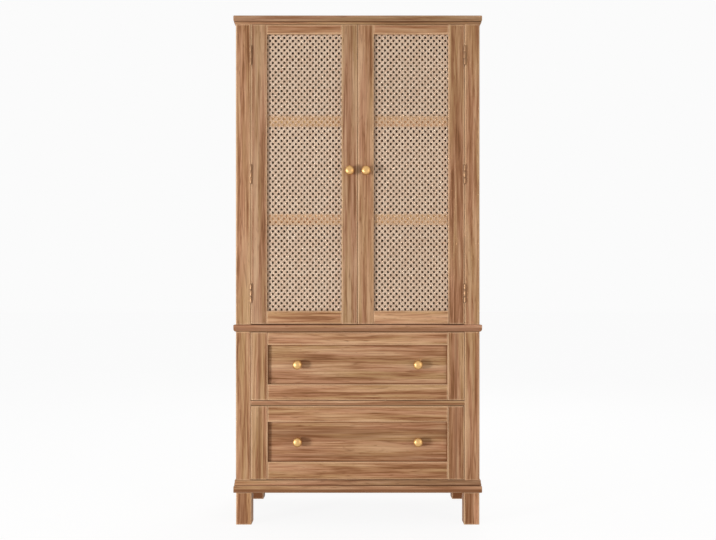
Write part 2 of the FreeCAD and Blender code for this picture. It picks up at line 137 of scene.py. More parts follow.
class CabinetSizes(bpy.types.PropertyGroup):
    """Sizes of the pieces that are made here, and of the wood's figure."""
    cane_across: length("Cane pitch across", "Distance between holes in one row of the cane", 18.57)
    cane_up: length("Cane pitch up", "Distance between holes in one column of the cane", 20.2)
    strand_width: length("Strand width", "Width of an upright or level cane strand", 3.1)
    slant_width: length("Slanting strand width", "Width of a slanting cane strand", 4.65)
    strand_stray: length("Strand stray", "How far a cane strand may lie from its even place", 0.35)
    cane_rise: length("Cane rise", "How far a hole lies above the middle of the sheet", 2.4)
    strand_thickness: length("Strand thickness", "Thickness of every cane strand", 0.7)
    edge_ease: length("Edge easing", "How far sandpaper has rounded the edges of the wood", 0.7)
    # The reach of the pale edges, partly thinned stain and partly painted highlight
    pale_edge_reach: length("Thin stain", "How far in from an edge sanding has thinned the stain", 7.0)
    streak_width: length("Streak width", "Usual width of a streak of colour in the wood", 12)
    streak_length: length("Streak length", "Usual length of a streak of colour in the wood", 260)
    hinge_height: length("Hinge height", "Height of a hinge leaf", 63)
    hinge_metal: length("Hinge metal", "Thickness of a hinge leaf", 1.2)
    hinge_barrel: length("Hinge barrel", "Radius of a hinge's knuckles", 2.8)
    hinge_screw: length("Hinge screw", "Diameter of a hinge screw's head", 5.2)
    slide_screw: length("Slide screw", "Diameter of a slide screw's head", 7.0)
    knob_screw: length("Knob screw", "Diameter of the screw head behind a knob", 8.5)
    back_inset: length("Back screws", "From a back panel's edge to its screws", 9)


class CabinetColours(bpy.types.PropertyGroup):
    """Colours of the cabinet's materials."""
    wood_dark: colour("Wood, dark lines", "Darkest growth lines and pores of the wood", "#774D2F")
    wood_brown: colour("Wood, brown", "Darker streaks of heartwood", "#986B4A")
    wood_rose: colour("Wood, rose", "Most of the wood, where it is reddish", "#B78868")
    wood_tan: colour("Wood, tan", "Most of the wood, where it is olive tan", "#B18C62")
    wood_pale: colour("Wood, pale", "Pale streaks of sapwood", "#D1AC88")
    # Painted highlight: the pale edge colour is partly sanded-through stain and partly a painted
    # highlight along the edges
    wood_edge_worn_and_lit: colour("Wood, edges", "Eased edges, where sanding has thinned the stain", "#E0BB95")
    plywood_face: colour("Plywood face", "Face veneer of the plywood", "#D3AA80")
    plywood_core: colour("Plywood core", "Cross plies seen at the plywood's edges", "#A97C55")
    cane_skin: colour("Cane", "Shiny outer skin of the cane", "#E9D3BC")
    cane_shade: colour("Cane fibres", "Darker fibres and marks on the cane", "#C8A486")
    cane_rubbed: colour("Cane over bars", "Tint of the cane where it rubs on the bars", "#F4E9DB")
    brass: colour("Brass", "Satin brass of the knobs", "#DDB276")
    aged_brass: colour("Aged brass", "Dull aged brass of the hinges", "#B08C6C")
    zinc: colour("Zinc", "Bright zinc plating of the drawer slides", "#C9CACB")
    plastic: colour("Catch plastic", "Brown moulded plastic of the door catches", "#6B4A33")


class CabinetStage(bpy.types.PropertyGroup):
    """The camera, the light and the floor."""
    camera_distance: length("Camera distance", "From the cabinet's front to the camera", 2593)
    camera_height: length("Camera height", "From the floor to the camera", 731)
    camera_side: length("Camera offset", "How far right of the middle the camera stands", 0.9)
    lens: number("Lens", "Focal length of the camera", 40.45, unit="CAMERA")
    horizon_drop: number("Horizon drop", "From the picture's middle down to the horizon", 28,
                         subtype="PIXEL")
    room_light: number("Room light", "Light from all round", 0.39, subtype="FACTOR")
    key_light: number("Key light", "Softbox low on the left", 138, unit="POWER")
    fill_light: number("Fill light", "Softbox on the right", 21, unit="POWER")
    back_light: number("Back light", "Softbox high behind", 28, unit="POWER")
    backdrop: number("Backdrop", "How white the backdrop shows", 0.965, subtype="FACTOR")


# Materials

# Settings of a Mix that multiplies one colour by another
TINT = {"data_type": "RGBA", "blend_type": "MULTIPLY"}

# The axes that lie along, across and through a board, by the way its grain runs
GRAIN_ORDER = {"X": (0, 1, 2), "Y": (1, 2, 0), "Z": (2, 0, 1)}


def add_node(tree, kind, inputs=(), stops=(), **settings):
    """A node with its settings, its ramp's colours, and its inputs, by name or in the node's own
    order. Its operation, if it has one, is written after its kind. An input is a value, a socket,
    or a node, which gives the first output that it uses. In order, a MapRange takes the value,
    the range that it comes from and the one it goes to."""
    kind, _, operation = kind.partition(".")
    made = tree.nodes.new("ShaderNode" + kind)
    if operation:
        made.operation = operation
    for name, value in settings.items():
        setattr(made, name, value)
    for name, value in (inputs if isinstance(inputs, dict) else dict(enumerate(inputs))).items():
        socket = made.inputs[name]
        if isinstance(value, bpy.types.Node):
            value = next(output for output in value.outputs if output.enabled)
        if isinstance(value, bpy.types.NodeSocket):
            tree.links.new(value, socket)
        else:
            socket.default_value = opaque(value) if socket.type == "RGBA" else value
    if stops:
        ramp = made.color_ramp.elements
        ramp.remove(ramp[-1])
        ramp[0].position, ramp[0].color = stops[0][0], opaque(stops[0][1])
        for place, shade in stops[1:]:
            ramp.new(place).color = opaque(shade)
    return made


def new_nodes(owner):
    """Empties a material's or world's nodes, and gives the function that adds one to them."""
    owner.use_nodes = True
    owner.node_tree.nodes.clear()
    return partial(add_node, owner.node_tree)


def new_material(name):
    """A material without nodes, and the function that adds one to it."""
    material = bpy.data.materials.new(name)
    return material, new_nodes(material)


def surface(add, inputs, height, strength, depth, metallic=0.0):
    """Ends a material with its shader's inputs and a bump of this depth in metres."""
    bump = add("Bump", {"Height": height, "Strength": strength, "Distance": depth})
    shader = add("BsdfPrincipled", {**inputs, "Metallic": metallic, "Normal": bump})
    add("OutputMaterial", (shader,))


def mottled(add, plain, clouds, shades, marks, dulls, **ending):
    """Ends a material of one colour with cloudy shades and with marks that dull it."""
    shade = add("MapRange", (clouds, *shades))
    tinted = add("Mix", {0: 1.0, 6: plain, 7: shade}, **TINT)
    rough = add("MapRange", (marks, 0.0, 1.0, *dulls))
    surface(add, {"Base Color": tinted, "Roughness": rough}, depth=0.05 * MM, **ending)


def place_axes(add):
    """The X, Y and Z of a place on the cabinet at rest."""
    return add("SeparateXYZ", (add("TexCoord").outputs["Object"],)).outputs


def away_from(add, value, middle):
    """How far a value lies from a middle, on either side of it."""
    off = add("Math.SUBTRACT", (value, middle))
    return add("Math.ABSOLUTE", (off,))


def own_facing(add):
    """A face's normal, and how much it faces along X, Y and Z of the piece, whatever its pose."""
    normal = add("NewGeometry").outputs["True Normal"]
    own = add("VectorTransform", (normal,), vector_type="NORMAL", convert_from="WORLD",
              convert_to="OBJECT")
    size = add("VectorMath.ABSOLUTE", (own,))
    return normal, add("SeparateXYZ", (size,)).outputs


def figure(add, grain, long, wide, **settings):
    """Noise drawn out along the grain, with marks of about this length and width in metres."""
    stretched = add("VectorMath.MULTIPLY", (grain, (1 / long, 1 / wide, 1 / wide)))
    return add("TexNoise", {"Vector": stretched, "Scale": 1.0, **settings})


def along_grain(add, grain):
    """The place in the wood as along, across and through, for boards that run one way."""
    axes = place_axes(add)
    return add("CombineXYZ", [axes[i] for i in GRAIN_ORDER[grain]])


def edge_depths(add, axes, node, second, inset=0.0):
    """How far a place lies inside a node's edges along X and along a second axis."""
    low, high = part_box(node)
    depths = []
    for i in (0, "XYZ".index(second)):
        off = away_from(add, axes[i], (low[i] + high[i]) / 2)
        depths.append(add("Math.SUBTRACT", ((high[i] - low[i]) / 2 - inset, off)))
    return depths


def along_frame(add, node, second):
    """The place in the wood of a mitred frame, whose strips run along X and a second axis."""
    axes = place_axes(add)
    upright = add("Math.LESS_THAN", edge_depths(add, axes, node, second))
    level, other = (add("CombineXYZ", [axes[i] for i in GRAIN_ORDER[grain]])
                    for grain in ("X", second))
    return add("Mix", {0: upright, 4: level, 5: other}, data_type="VECTOR")


def painted_corner_shade(add, node):
    """Painted shade where a panel meets its frame, dark for a few millimetres."""
    nearest = add("Math.MINIMUM", edge_depths(add, place_axes(add), node, "Z", PANEL_TONGUE))
    return add("MapRange", (nearest, 1 * MM, 5 * MM, 0.8, 0.0))


def heart_streak(add, node):
    """A dark streak of heartwood along the middle of the stiles at both ends of a drawer front."""
    out = add("Math.ABSOLUTE", (place_axes(add)[0],))
    away = away_from(add, out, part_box(node)[1].x - 26.5 * MM)
    return add("MapRange", (away, 1.5 * MM, 6 * MM, 0.55, 0.0))


def heart_bands(add, node):
    """Two broad, broken bands of heartwood along a drawer panel, above and below its middle."""
    low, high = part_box(node)
    share = add("MapRange", (place_axes(add)[2], low.z, high.z))
    bands = []
    # Middle and half width of each band, as shares of the panel's height
    for middle, half in ((0.68, 0.20), (0.12, 0.13)):
        away = away_from(add, share, middle)
        bands.append(add("MapRange", (away, 0.3 * half, half, 0.7, 0.0)))
    both = add("Math.MAXIMUM", bands)
    waver = figure(add, along_grain(add, "X"), 240 * MM, 9 * MM, Detail=2.0)
    broken = add("MapRange", (waver, 0.36, 0.62))
    return add("Math.MULTIPLY", (both, broken))


def painted_quirk_shade(add, node):
    """Painted shade in the small groove between a coved strip and its board."""
    low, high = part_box(node)
    groove = high.z if node == "cornice_frame" else low.z
    away = away_from(add, place_axes(add)[2], groove)
    return add("MapRange", (away, 0.9 * QUIRK_HEIGHT, 1.1 * QUIRK_HEIGHT, 0.9, 0.0))


def painted_lower_shade(add, node, most):
    """Painted shade on the front of a level board, growing darker down its lower half as if lit
    from above.
    """
    low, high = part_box(node)
    clear, dark = (share * high.z + (1 - share) * low.z for share in (0.72, 0.44))
    return add("MapRange", (place_axes(add)[2], clear, dark, 0.0, most))


def darker_upper_rail(add, node):
    """A door's upper rail is darker than its lower one."""
    low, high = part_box(node)
    middle = (low.z + high.z) / 2
    return add("MapRange", (place_axes(add)[2], middle, middle + 1 * MM, 0.0, 0.32))


def leg_heart_and_shade(add, node):
    """The front legs are sawn from near the heart, dark for most of their width and paler along
    their right edge; the legs at the back are dark all over with painted shade."""
    low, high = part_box(node)
    axes = place_axes(add)
    # Painted shade: the legs at the back are darkened all over.
    rear_shade = add("MapRange", (axes[1], 0.0, 1 * MM))
    hearts = []
    # Middle and half width of the heartwood in the left front leg and in the right one
    for middle, half in ((low.x + 22 * MM, 14.5 * MM), (high.x - 34.5 * MM, 17 * MM)):
        away = away_from(add, axes[0], middle)
        hearts.append(add("Math.SUBTRACT", (away, half)))
    past = add("Math.MINIMUM", hearts)
    waver = figure(add, along_grain(add, "Z"), 110 * MM, 6 * MM, Detail=2.0)
    ragged = add("Math.MULTIPLY_ADD", (waver, 16 * MM, past))
    streak = add("MapRange", (ragged, 5 * MM, 10 * MM, 1.0, 0.0))
    depth = add("MapRange", (waver, 0.35, 0.6, 1.0, 0.55))
    front = add("Math.MULTIPLY", (streak, depth))
    return add("Math.MAXIMUM", (rear_shade, front))


def oiled_wood(name, colours, sizes, node, grain_way, stains_and_shades):
    """Oiled mango wood: planed, sanded and oiled boards. The eye sees long streaks of rose brown
    and tan, thin dark growth lines, short dark pores, pale sanded edges with a painted highlight,
    painted shade on some boards and a low satin shine."""
    material, add = new_material(name)
    shift, tone, wear = (add("Attribute", attribute_type="OBJECT", attribute_name=own)
                         for own in ("grain_shift", "tone", "wear"))
    straight = len(grain_way) == 1
    place = along_grain(add, grain_way) if straight else along_frame(add, node, grain_way[1])
    grain = add("VectorMath.ADD", (place, shift.outputs["Vector"]))
    bands = figure(add, grain, 700 * MM, 34 * MM, Detail=1.0)
    streaks = figure(add, grain, sizes.streak_length, sizes.streak_width,
                     Detail=3.0, Roughness=0.62, Distortion=0.25)
    lines = figure(add, grain, 190 * MM, 5.0 * MM, Detail=2.0, Roughness=0.6)
    # Real fibres and pores are finer than a pixel, so they are drawn 2 or 3 mm wide.
    fibres = figure(add, grain, 45 * MM, 2.0 * MM, Detail=2.0, Roughness=0.6)
    pores = figure(add, grain, 26 * MM, 3.0 * MM, Detail=1.0)
    warmth = figure(add, grain, 420 * MM, 26 * MM, Detail=1.0)
    # A tree's growth rings, cut along, are thin dark lines that close up and open out.
    rings = figure(add, grain, 620 * MM, 30 * MM, Detail=1.5, Distortion=0.3)
    ring = add("Math.PINGPONG", (rings, BOARD_RING))
    thin = add("MapRange", (ring, 0.0, 0.35 * BOARD_RING, 1.0, 0.0))
    faint = add("MapRange", (lines, 0.35, 0.6, 0.75, 0.05))
    dark_ring = add("Math.MULTIPLY", (thin, faint))
    total = streaks
    for layer, share in ((bands, 0.45), (lines, 0.55), (fibres, 0.25)):
        total = add("Math.MULTIPLY_ADD", (layer, share, total))
    level = add("MapRange", (total, 0.84, 1.40))
    rose, tan = (add("ValToRGB", (level,), stops=[
        (0.0, colours.wood_dark), (brown, colours.wood_brown), (0.52, most),
        (1.0, colours.wood_pale)])
        for brown, most in ((0.26, colours.wood_rose), (0.24, colours.wood_tan)))
    turn = add("MapRange", (warmth, 0.40, 0.64))
    wood = add("Mix", {0: turn, 6: rose, 7: tan}, data_type="RGBA")
    marks = add("MapRange", (pores, 0.66, 0.76, 0.0, 0.6))
    # The marks take in pores, growth lines, heartwood streaks and, on some boards, painted shade.
    for mark in (dark_ring, *(stain(add, node) for stain in stains_and_shades)):
        marks = add("Math.MAXIMUM", (marks, mark))
    marked_and_shaded = add("Mix", {0: marks, 6: wood, 7: colours.wood_dark}, data_type="RGBA")
    toned = add("Mix", {0: 1.0, 6: marked_and_shaded, 7: tone.outputs["Color"]}, **TINT)
    # A face that is square to no axis is an eased edge, paled partly where sanding has thinned the
    # stain and partly as a painted highlight.
    normal, (x, y, z) = own_facing(add)
    most = add("Math.MAXIMUM", (x, y))
    most = add("Math.MAXIMUM", (most, z))
    eased = add("MapRange", (most, 0.97, 0.88))
    # Beside the edges it is paler as well, from thinned stain and a painted highlight: there a
    # rounder normal leaves the face's own.
    rounder = add("Bevel", {"Radius": sizes.pale_edge_reach}, samples=4)
    square = add("VectorMath.DOT_PRODUCT", (rounder, normal))
    beside = add("MapRange", (square, 0.998, 0.96, 0.0, 0.85))
    worn_and_lit = add("Math.MAXIMUM", (eased, beside))
    streaky = add("MapRange", (streaks, 0.3, 0.55, 0.55, 1.0))
    for share in (streaky, wear.outputs["Fac"]):
        worn_and_lit = add("Math.MULTIPLY", (worn_and_lit, share))
    edged = add("Mix", {0: worn_and_lit, 6: toned, 7: colours.wood_edge_worn_and_lit}, data_type="RGBA")
    sheen = add("MapRange", (lines, 0.0, 1.0, 0.64, 0.46))
    height = add("Math.MULTIPLY_ADD", (marks, -0.8, fibres))
    surface(add, {"Base Color": edged, "Roughness": sheen, "Specular IOR Level": 0.18},
            height, strength=0.25, depth=0.3 * MM)
    return material


def plywood(name, colours, grain, through):
    """Birch plywood: peeled veneers glued crosswise, sanded and thinly sealed. The faces show wide
    pale figure, and the sawn edges show the plies as thin light and dark lines."""
    material, add = new_material(name)
    stacked = "XYZ".index(through)
    place = along_grain(add, grain)
    figured = figure(add, place, 300 * MM, 22 * MM, Detail=3.0, Distortion=0.8)
    fibres = figure(add, place, 40 * MM, 1.5 * MM, Detail=2.0)
    # A peeled veneer cuts each growth ring over and over, in wide wandering lines.
    rings = figure(add, place, 520 * MM, 90 * MM, Detail=2.0, Distortion=0.6)
    ring = add("Math.PINGPONG", (rings, VENEER_RING))
    ring = add("MapRange", (ring, 0.0, 0.03, 0.35, 0.0))
    plies = add("Math.PINGPONG", (place_axes(add)[stacked], 2 * PLY))
    core = add("Math.GREATER_THAN", (plies, PLY))
    facing = own_facing(add)[1]
    edge = add("Math.LESS_THAN", (facing[stacked], 0.5))
    cross = add("Math.MULTIPLY", (core, edge))
    fine = add("Math.MULTIPLY", (fibres, 0.35))
    mixed = add("Math.MULTIPLY_ADD", (figured, 0.65, fine))
    part = add("MapRange", (mixed, 0.36, 0.66, 0.0, 0.6))
    part = add("Math.ADD", (part, ring))
    wood = colours.plywood_face
    for share in (part, cross):
        wood = add("Mix", {0: share, 6: wood, 7: colours.plywood_core}, data_type="RGBA")
    rough = add("MapRange", (fibres, 0.0, 1.0, 0.5, 0.68))
    surface(add, {"Base Color": wood, "Roughness": rough, "Specular IOR Level": 0.2},
            fibres, strength=0.2, depth=0.2 * MM)
    return material


def natural_cane(name, colours):
    """Natural cane: strips of rattan bark, woven damp and dried tight. The eye sees smooth, shiny
    straw-coloured strands with fine fibres along them, and no two strands quite the same."""
    material, add = new_material(name)
    strand = add("Attribute", attribute_name="strand").outputs["Vector"]
    noises = []
    # The fibres are drawn as coarse as a strand shows them close up, five or six to its width.
    for across, long in ((3.0, 18 * MM), (0.2, 60 * MM)):
        drawn = add("VectorMath.MULTIPLY", (strand, (across, 1 / long, 1.0)))
        noises.append(add("TexNoise", {"Vector": drawn, "Scale": 1.0, "Detail": 2.0}))
    fibres, patches = noises
    own = add("NewGeometry").outputs["Random Per Island"]
    dull = add("Math.MULTIPLY", (patches, 0.5))
    for layer, share in ((own, 0.28), (fibres, 0.6)):
        dull = add("Math.MULTIPLY_ADD", (layer, share, dull))
    share = add("MapRange", (dull, 0.42, 1.0, 0.0, 0.85))
    cane = add("Mix", {0: share, 6: colours.cane_skin, 7: colours.cane_shade}, data_type="RGBA")
    over = add("Attribute", attribute_name="over_bar").outputs["Fac"]
    rubbed = add("Mix", {0: over, 6: cane, 7: colours.cane_rubbed}, **TINT)
    rough = add("MapRange", (fibres, 0.0, 1.0, 0.42, 0.6))
    surface(add, {"Base Color": rubbed, "Roughness": rough, "Specular IOR Level": 0.35},
            fibres, strength=0.3, depth=0.1 * MM)
    return material


def brushed_brass(name, metal, smooth, rough):
    """Brass, brushed and thinly lacquered on the knobs, and rolled and left to age on the hinges.
    The eye sees soft gold or brown metal with blurred reflections and faint cloudy marks."""
    material, add = new_material(name)
    place = add("TexCoord").outputs["Object"]
    clouds, grit = (add("TexNoise", {"Vector": place, "Scale": 1 / mark, "Detail": detail})
                    for mark, detail in ((9 * MM, 3.0), (0.7 * MM, 1.0)))
    mottled(add, metal, clouds, (0.3, 0.7, 0.86, 1.0), clouds, (smooth, rough),
            height=grit, strength=0.1, metallic=1.0)
    return material


def zinc_steel(name, colours):
    """Zinc-plated steel: cold-rolled strip, plated bright. The eye sees grey metal with rolling
    lines along the strip and pale and dark clouds of zinc."""
    material, add = new_material(name)
    place = along_grain(add, "Y")
    rolled = figure(add, place, 120 * MM, 1.2 * MM, Detail=2.0)
    clouds = figure(add, place, 30 * MM, 18 * MM, Detail=3.0)
    mottled(add, colours.zinc, clouds, (0.3, 0.7, 0.8, 1.0), rolled, (0.25, 0.45),
            height=rolled, strength=0.15, metallic=1.0)
    return material


def moulded_plastic(name, colours):
    """Moulded ABS with a spark-eroded finish: an even brown with a fine grainy surface."""
    material, add = new_material(name)
    place = add("TexCoord").outputs["Object"]
    grain = add("TexNoise", {"Vector": place, "Scale": 1 / (0.6 * MM), "Detail": 2.0})
    mottled(add, colours.plastic, grain, (0.0, 1.0, 0.85, 1.15), grain, (0.4, 0.6),
            height=grain, strength=0.2)
    return material


def seen_directly(add):
    """One where the eye sees a surface, also mirrored or through glass, and nought elsewhere."""
    path = add("LightPath").outputs
    seen = add("Math.MAXIMUM", (path["Is Camera Ray"], path["Is Glossy Ray"]))
    return add("Math.MAXIMUM", (seen, path["Is Transmission Ray"]))


def floor_paint(name):
    """Matt white floor paint. Seen directly it is nearly as white as the backdrop and keeps the
    cabinet's shadow, and it lights the cabinet as plain pale paint does."""
    material, add = new_material(name)
    plain_grey, shadow_depth, glow = 0.8, 0.13, 0.908
    plain, shadowed = (add("BsdfDiffuse", {"Color": (grey, grey, grey)})
                       for grey in (plain_grey, shadow_depth))
    bright = add("Emission", {"Color": (1, 1, 1), "Strength": glow})
    white = add("AddShader", (shadowed, bright))
    both = add("MixShader", (seen_directly(add), plain, white))
    add("OutputMaterial", (both,))
    return material


# Shapes

def new_piece(name, shape, body, material, smooth=True):
    """A mesh piece that rides on a body, with the material it is given."""
    verts, faces = shape
    mesh = bpy.data.meshes.new(name)
    mesh.from_pydata(verts, [], faces)
    if mesh.validate():
        raise RuntimeError(name + " has faces that can't be kept")
    if smooth:
        mesh.shade_smooth()
    else:
        mesh.shade_flat()
    mesh.materials.append(material)
    piece = bpy.data.objects.new(name, mesh)
    bpy.context.scene.collection.objects.link(piece)
    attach(piece, body)
    return piece


def ease_edges(board, width):
    """Rounds a board's sharp edges, as sandpaper does. The CAD faces are joined first."""
    for name, kind, settings in (
            ("joined", "WELD", {"merge_threshold": 0.01 * MM}),
            ("flat", "DECIMATE", {"decimate_type": "DISSOLVE", "angle_limit": math.radians(1)}),
            ("eased", "BEVEL", {"width": width, "segments": 2, "limit_method": "ANGLE",
                                "angle_limit": math.radians(40)}),
            ("even", "WEIGHTED_NORMAL", {"keep_sharp": False})):
        step = board.modifiers.new(name, kind)
        for setting, value in settings.items():
            setattr(step, setting, value)


def dress(node, material):
    """Gives a CAD node its material."""
    board = frame["nodes"][node]
    board.data.materials.clear()
    board.data.materials.append(material)
    return board


# Sides of a small turned shape, such as a screw's head or a hinge's knuckle
SMALL_SIDES = 20

# How far the recess of each screw is turned from the last one's, in radians
SCREW_TURN = 0.7

# Corners of a strand's section, as shares of its width and thickness
STRAND_SECTION = ((-0.5, -0.5), (-0.4, 0.2), (0.0, 0.5), (0.4, 0.2), (0.5, -0.5))


class Weave:
    """Collects strands of cane, drawn in the plane of the sheet with the front towards -Y."""

    def __init__(self, thickness):
        self.thickness, self.strands = thickness, 0
        self.verts, self.faces, self.marks = [], [], []

    def lay(self, start, way, stations, heights, width):
        """One strand from a start point, with its height at each distance along it."""
        first, sides = len(self.verts), len(STRAND_SECTION)
        for along, height in zip(stations, heights):
            for across, up in STRAND_SECTION:
                x = start[0] + way[0] * along - way[1] * across * width
                z = start[1] + way[1] * along + way[0] * across * width
                self.verts.append((x, -(height + up * self.thickness), z))
                self.marks.append((across, along, self.strands * STRAND_STEP))
        last = len(self.verts) - sides
        for ring in range(first, last, sides):
            for j in range(sides):
                a, b = ring + j, ring + (j + 1) % sides
                self.faces.append((a, b, b + sides, a + sides))
        self.faces.append(tuple(range(first + sides - 1, first - 1, -1)))
        self.faces.append(tuple(range(last, last + sides)))
        self.strands += 1


def cane_sheet(half_width, half_height, sizes, seed):
    """The woven sheet about its middle, near a hole. Upright and level strands go over and
    under each other, and a slanting strand passes between the two at every crossing. No two
    strands are quite as wide, or lie quite as even, as each other."""
    chance = np.random.default_rng(seed)
    weave = Weave(sizes.strand_thickness)
    least_step = 0.2 * MM
    a, b = sizes.cane_across, sizes.cane_up
    across, up = (range(-math.ceil(2 * half / pitch) - 1, math.ceil(2 * half / pitch) + 1)
                  for half, pitch in ((half_width, a), (half_height, b)))
    for rows, columns, step, pitch, reach, limit, level in (
            (across, up, a, b, half_width, half_height, False),
            (up, across, b, a, half_height, half_width, True)):
        shift, rise = (sizes.cane_rise, 0.0) if level else (0.0, sizes.cane_rise)
        for i in rows:
            place = (i / 2 + 0.25) * step + shift + sizes.strand_stray * chance.uniform(-1, 1)
            width = sizes.strand_width * chance.uniform(*STRAND_WIDTHS)
            if abs(place) > reach - width / 2:
                continue
            # A strand stays up or down from just before a crossing to just past it.
            stations, heights = [], []
            for j in columns:
                crossing = (j / 2 + 0.25) * pitch + rise
                height = STRAND_LIFT if ((i + j) % 2 == 0) != level else -STRAND_LIFT
                for along in (crossing - FLAT_SHARE * pitch, crossing + FLAT_SHARE * pitch):
                    if abs(along) < limit - least_step:
                        stations.append(along)
                        heights.append(height)
            start, way = ((0, place), (1, 0)) if level else ((place, 0), (0, 1))
            weave.lay(start, way, [-limit, *stations, limit],
                      [heights[0], *heights, heights[-1]], width)
    diagonal = math.hypot(a, b)
    quarter = diagonal / 4
    # A slanting strand ends with its corners just inside the sheet's edge.
    inset = 0.55 * sizes.slant_width
    most = math.ceil(half_width / a + half_height / b) + 1
    for slope in (1, -1):
        way = (a / diagonal, slope * b / diagonal)
        for k in range(-most, most):
            start = ((k + 0.5) * a + sizes.strand_stray * chance.uniform(-1, 1), sizes.cane_rise)
            width = sizes.slant_width * chance.uniform(*SLANT_WIDTHS)
            spans = [sorted((side * (half - inset) - start[i]) / way[i] for side in (-1, 1))
                     for i, half in enumerate((half_width, half_height))]
            low, high = max(span[0] for span in spans), min(span[1] for span in spans)
            if high - low < quarter:
                continue
            steps = range(math.ceil(low / quarter + 0.1), math.floor(high / quarter - 0.1) + 1)
            # Even steps are the middles of cells, where the two slants cross, and odd ones
            # the crossings of upright and level strands.
            heights = [SLANT_LIFT * slope if s % 2 == 0 else 0.0 for s in steps]
            weave.lay(start, way, [low, *(s * quarter for s in steps), high],
                      [0.0, *heights, 0.0], width)
    return weave


def around(radius, sides, height):
    """Points of a circle about the Z axis."""
    angles = (2 * math.pi * i / sides for i in range(sides))
    return [(radius * math.cos(angle), radius * math.sin(angle), height) for angle in angles]


def turned(profile, sides):
    """A lathe-turned solid about +Z from radius and height pairs, ends on the axis."""
    rings = profile[1:-1]
    verts = [(0.0, 0.0, profile[0][1])]
    for radius, height in rings:
        verts += around(radius, sides, height)
    verts.append((0.0, 0.0, profile[-1][1]))
    faces = []
    top = 1 + (len(rings) - 1) * sides
    for i in range(sides):
        j = (i + 1) % sides
        faces.append((0, 1 + j, 1 + i))
        for low in range(1, top, sides):
            faces.append((low + i, low + j, low + sides + j, low + sides + i))
        faces.append((top + i, top + j, top + sides))
    return verts, faces


def shape_of(made):
    """A mesh under work as corners and faces, which are turned outwards first."""
    bmesh.ops.recalc_face_normals(made, faces=made.faces)
    made.verts.index_update()
    verts = [tuple(v.co) for v in made.verts]
    faces = [tuple(v.index for v in face.verts) for face in made.faces]
    made.free()
    return verts, faces


def pairs(row):
    """Each corner of a closed row with the next one."""
    return zip(row, (*row[1:], row[0]))


def wall(made, low, high):
    """Joins two closed rows of corners by a face at each step."""
    for (a, b), (d, c) in zip(pairs(low), pairs(high)):
        made.faces.new((a, b, c, d))


def screw_head(diameter, height, dome):
    """A screw head with a cross recess, standing on the plane z = 0 and facing +Z. The dome is
    the share of its height that is rounded."""
    made = bmesh.new()
    radius = diameter / 2
    rings = [[made.verts.new(point) for point in around(radius * share, SMALL_SIDES, level)]
             for share, level in ((1.0, 0.0), (1.0, height * (1 - dome)), (0.78, height))]
    made.faces.new(list(reversed(rings[0])))
    for low, high in zip(rings, rings[1:]):
        wall(made, low, high)
    # The recess: a cross that narrows towards its floor
    arm, half = 0.55 * radius, 0.13 * radius
    taper, bottom = 0.7, 0.45 * height
    quarter = [(arm, -half), (arm, half), (half, half)]
    corners = [point for x, y in ((1, 0), (0, 1), (-1, 0), (0, -1))
               for point in ((x * px - y * py, y * px + x * py) for px, py in quarter)]
    rim = [made.verts.new((x, y, height)) for x, y in corners]
    floor = [made.verts.new((x * taper, y * taper, bottom)) for x, y in corners]
    edges = [made.edges.get(pair) for pair in pairs(rings[-1])]
    edges += [made.edges.new(pair) for pair in pairs(rim)]
    bmesh.ops.triangle_fill(made, edges=edges, use_beauty=True, normal=(0, 0, 1))
    wall(made, floor, rim)
    made.faces.new(floor)
    return shape_of(made)


def hinge_leaf(back, face, pin, near, far, low, knuckles, sizes):
    """One hinge leaf between the planes x = back and x = face: a plate with rounded corners,
    and tabs that roll into knuckles round the pin, which are fullest in their middle."""
    made = bmesh.new()
    step = sizes.hinge_height / 3
    play = 0.08 * MM
    corner = 2.5 * MM
    cut = 0.3 * corner
    high = low + sizes.hinge_height
    outline = [(near, low), (far - corner, low), (far - cut, low + cut), (far, low + corner),
               (far, high - corner), (far - cut, high - cut), (far - corner, high), (near, high)]
    spans = [(low + i * step + play, low + (i + 1) * step - play) for i in knuckles]
    for start, end in reversed(spans):
        outline += [(near, end), (pin[1], end), (pin[1], start), (near, start)]
    sides = [[made.verts.new((x, y, z)) for y, z in outline] for x in (back, face)]
    made.faces.new(sides[0])
    made.faces.new(list(reversed(sides[1])))
    wall(made, sides[1], sides[0])
    # A knuckle's radius and distance from its end, as shares of the barrel and of the step
    rise = [(r * sizes.hinge_barrel, h * step)
            for r, h in ((0.55, 0.0), (0.72, 0.06), (0.86, 0.16), (0.96, 0.30))]
    for start, end in spans:
        profile = [(0, start), *((r, start + h) for r, h in rise),
                   (sizes.hinge_barrel, (start + end) / 2),
                   *((r, end - h) for r, h in reversed(rise)), (0, end)]
        verts, faces = turned(profile, SMALL_SIDES)
        corners = [made.verts.new((x + pin[0], y + pin[1], z)) for x, y, z in verts]
        for indices in faces:
            made.faces.new([corners[i] for i in indices])
    return shape_of(made)


def together(shapes):
    """Several shapes as one."""
    all_verts, all_faces = [], []
    for verts, faces in shapes:
        first = len(all_verts)
        all_verts += verts
        all_faces += [tuple(first + i for i in face) for face in faces]
    return all_verts, all_faces


def copies(shape, places):
    """The same shape at several places, each a point and the way its +Z faces."""
    verts, faces = shape
    placed = []
    for index, (point, way) in enumerate(places):
        turn = Vector((0, 0, 1)).rotation_difference(Vector(way)).to_matrix().to_4x4()
        spin = Matrix.Rotation(SCREW_TURN * index, 4, "Z")
        place = Matrix.Translation(Vector(point)) @ turn @ spin
        placed.append(([tuple(place @ Vector(v)) for v in verts], faces))
    return together(placed)
